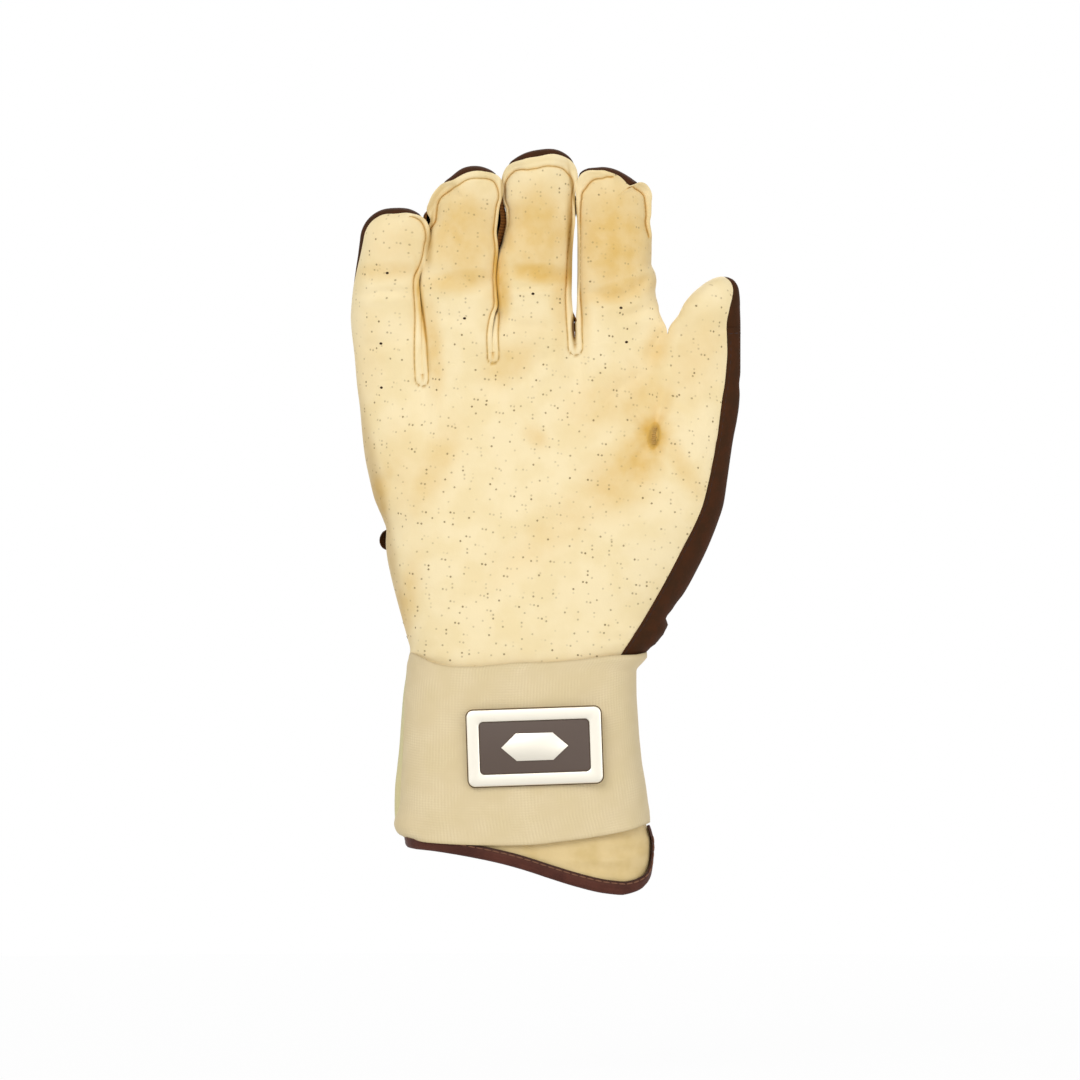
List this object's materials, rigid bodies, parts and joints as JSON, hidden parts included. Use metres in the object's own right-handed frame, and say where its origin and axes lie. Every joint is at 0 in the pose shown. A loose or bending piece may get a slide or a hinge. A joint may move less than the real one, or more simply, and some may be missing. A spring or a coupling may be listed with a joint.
{
  "type": "batting glove",
  "caption": "Right-hand batting glove with a perforated leather palm, brown back, long bound cuff and a wide elastic wrist strap with a plain badge.",
  "frame": {"origin": "middle of the hand opening, level with the lowest point of the cuff's rim", "axes": "+Z from the cuff to the fingertips, +X to the thumb side, -Y out of the palm"},
  "size_m": [0.1283, 0.0516, 0.246],
  "materials": {
    "palm_leather": "cream sheepskin leather, perforated, amber in the creases",
    "cuff_leather": "smooth cream synthetic leather",
    "back_leather": "dark brown synthetic leather with a fine mesh texture",
    "gusset_fabric": "brown stretch fabric",
    "binding": "red-brown leather tape with top stitching",
    "elastic": "woven beige elastic with fine ribs",
    "hook_and_loop": "beige hook and loop tape",
    "badge_metal": "moulded badge frame with a pale metallic face",
    "badge_panel": "moulded grey-brown panel",
    "thread": "amber thread"
  },
  "bodies": {
    "hand": {"palm_leather": "palm_leather", "back_panel": "back_leather", "web_little_ring": "gusset_fabric", "web_ring_middle": "gusset_fabric", "web_middle_index": "gusset_fabric", "web_index_thumb": "gusset_fabric", "knuckle_flex_panel": "gusset_fabric", "wrist_elastic": "elastic", "palm_bar_tack": "thread", "cuff_front": "cuff_leather", "cuff_back": "cuff_leather", "cuff_binding": "binding", "loop_patch": "hook_and_loop", "strap_anchor": "elastic"},
    "little": {"little_front": "palm_leather", "little_back": "back_leather", "little_gusset_right": "gusset_fabric"},
    "ring": {"ring_front": "palm_leather", "ring_back": "back_leather", "ring_gusset_left": "gusset_fabric", "ring_gusset_right": "gusset_fabric"},
    "middle": {"middle_front": "palm_leather", "middle_back": "back_leather", "middle_gusset_left": "gusset_fabric", "middle_gusset_right": "gusset_fabric"},
    "index": {"index_front": "palm_leather", "index_back": "back_leather", "index_gusset_left": "gusset_fabric"},
    "thumb": {"thumb_front": "palm_leather", "thumb_back": "back_leather"},
    "strap_band": {"strap_band": "elastic", "badge_frame": "badge_metal", "badge_panel": "badge_panel", "badge_emblem": "badge_metal"},
    "strap_tab": {"strap_tab": "elastic", "hook_patch": "hook_and_loop", "pull_tab": "binding"}
  },
  "joints": [
    {"name": "little_flex", "type": "hinge", "parent": "hand", "child": "little", "pos_m": [-0.0468, -0.0094, 0.1716], "axis": [1, 0, 0], "range_deg": [0, 60]},
    {"name": "ring_flex", "type": "hinge", "parent": "hand", "child": "ring", "pos_m": [-0.0237, -0.0125, 0.1799], "axis": [1, 0, 0], "range_deg": [0, 60]},
    {"name": "middle_flex", "type": "hinge", "parent": "hand", "child": "middle", "pos_m": [0.00135, -0.0131, 0.1815], "axis": [1, 0, 0], "range_deg": [0, 60]},
    {"name": "index_flex", "type": "hinge", "parent": "hand", "child": "index", "pos_m": [0.03, -0.01325, 0.1865], "axis": [1, 0, 0], "range_deg": [0, 60]},
    {"name": "thumb_flex", "type": "hinge", "parent": "hand", "child": "thumb", "pos_m": [0.0577, -0.0165, 0.185], "axis": [1, 0, 0], "range_deg": [0, 50]},
    {"name": "strap_peel", "type": "hinge", "parent": "strap_band", "child": "strap_tab", "pos_m": [-0.0433, 0, 0.048], "axis": [0, 0, 1], "range_deg": [0, 150]},
    {"name": "strap_swing", "type": "hinge", "parent": "hand", "child": "strap_band", "pos_m": [0.0403, 0, 0.048], "axis": [0, 0, 1], "range_deg": [0, 30]}
  ],
  "couplings": [
    {"joint": "strap_swing", "follows": "strap_peel", "ratio": 0.2}
  ]
}
